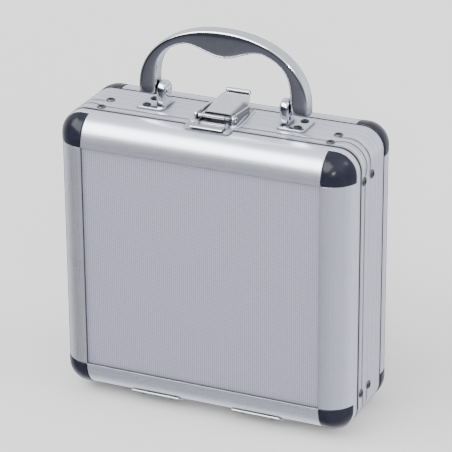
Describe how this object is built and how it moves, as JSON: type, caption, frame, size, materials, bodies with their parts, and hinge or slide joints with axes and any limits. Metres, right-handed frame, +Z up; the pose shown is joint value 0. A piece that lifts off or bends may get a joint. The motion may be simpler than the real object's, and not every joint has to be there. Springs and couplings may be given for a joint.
{
  "type": "miniature carry case",
  "caption": "Small framed aluminium carry case with dark corner caps, a hinged lid, a draw latch, a folding arched handle and a pocketed foam tray.",
  "frame": {"origin": "bottom centre of the closed case's box, on the surface that its feet stand on", "axes": "+X is the width, to the right when facing the lid; +Y is the depth, from the lid to the back; +Z is up, from the hinge side to the handle"},
  "size_m": [0.1816, 0.0742, 0.2259],
  "materials": {
    "satin_aluminium": "satin anodised extrusion with fine lines along its length",
    "textured_silver": "silver sheet embossed with fine rows of dimples",
    "navy_plastic": "glossy moulded plastic",
    "bright_chrome": "polished chrome plate",
    "zinc_steel": "dull zinc plate",
    "black_rubber": "matt moulded rubber",
    "grey_foam": "open-cell foam with cut pockets"
  },
  "bodies": {
    "base": {"base_frame": "satin_aluminium", "back_panel": "textured_silver", "base_corner_cap_bottom_left": "navy_plastic", "base_corner_cap_bottom_right": "navy_plastic", "base_corner_cap_top_left": "navy_plastic", "base_corner_cap_top_right": "navy_plastic", "corner_bracket_bottom_left": "zinc_steel", "corner_bracket_bottom_right": "zinc_steel", "corner_bracket_top_left": "zinc_steel", "corner_bracket_top_right": "zinc_steel", "foot_front_left": "black_rubber", "foot_rear_left": "black_rubber", "foot_front_right": "black_rubber", "foot_rear_right": "black_rubber", "foam_tray": "grey_foam", "hinge_base_leaf_left": "zinc_steel", "hinge_base_leaf_right": "zinc_steel", "hinge_pin_left": "zinc_steel", "hinge_pin_right": "zinc_steel", "handle_mount_left": "bright_chrome", "handle_mount_right": "bright_chrome", "handle_pin_left": "bright_chrome", "handle_pin_right": "bright_chrome", "handle_mount_screw_front_left": "zinc_steel", "handle_mount_screw_rear_left": "zinc_steel", "handle_mount_screw_front_right": "zinc_steel", "handle_mount_screw_rear_right": "zinc_steel", "latch_base": "bright_chrome", "latch_pin_left": "bright_chrome", "latch_pin_right": "bright_chrome"},
    "lid": {"lid_frame": "satin_aluminium", "front_panel": "textured_silver", "lid_corner_cap_bottom_left": "navy_plastic", "lid_corner_cap_bottom_right": "navy_plastic", "lid_corner_cap_top_left": "navy_plastic", "lid_corner_cap_top_right": "navy_plastic", "lid_foam_pad": "grey_foam", "hinge_lid_leaf_left": "zinc_steel", "hinge_lid_leaf_right": "zinc_steel", "latch_keeper": "bright_chrome"},
    "carry_handle": {"handle": "bright_chrome"},
    "latch_lever": {"latch_lever": "bright_chrome", "latch_hook_pin": "zinc_steel"},
    "latch_hook": {"latch_hook": "bright_chrome"}
  },
  "joints": [
    {"name": "lid_hinge", "type": "hinge", "parent": "base", "child": "lid", "pos_m": [0, -0.0194, 0.00245], "axis": [1, 0, 0], "range_deg": [0, 95]},
    {"name": "handle_fold", "type": "hinge", "parent": "base", "child": "carry_handle", "pos_m": [0, 0.0011, 0.1851], "axis": [1, 0, 0], "range_deg": [-88, 88]},
    {"name": "latch_lever_turn", "type": "hinge", "parent": "base", "child": "latch_lever", "pos_m": [0, -0.0119, 0.1788], "axis": [1, 0, 0], "range_deg": [0, 90]},
    {"name": "latch_hook_turn", "type": "hinge", "parent": "latch_lever", "child": "latch_hook", "pos_m": [0, -0.0073, 0.1782], "axis": [1, 0, 0], "range_deg": [-140, 0]}
  ],
  "couplings": [
    {"joint": "latch_hook_turn", "follows": "latch_lever_turn", "ratio": -1.55}
  ]
}
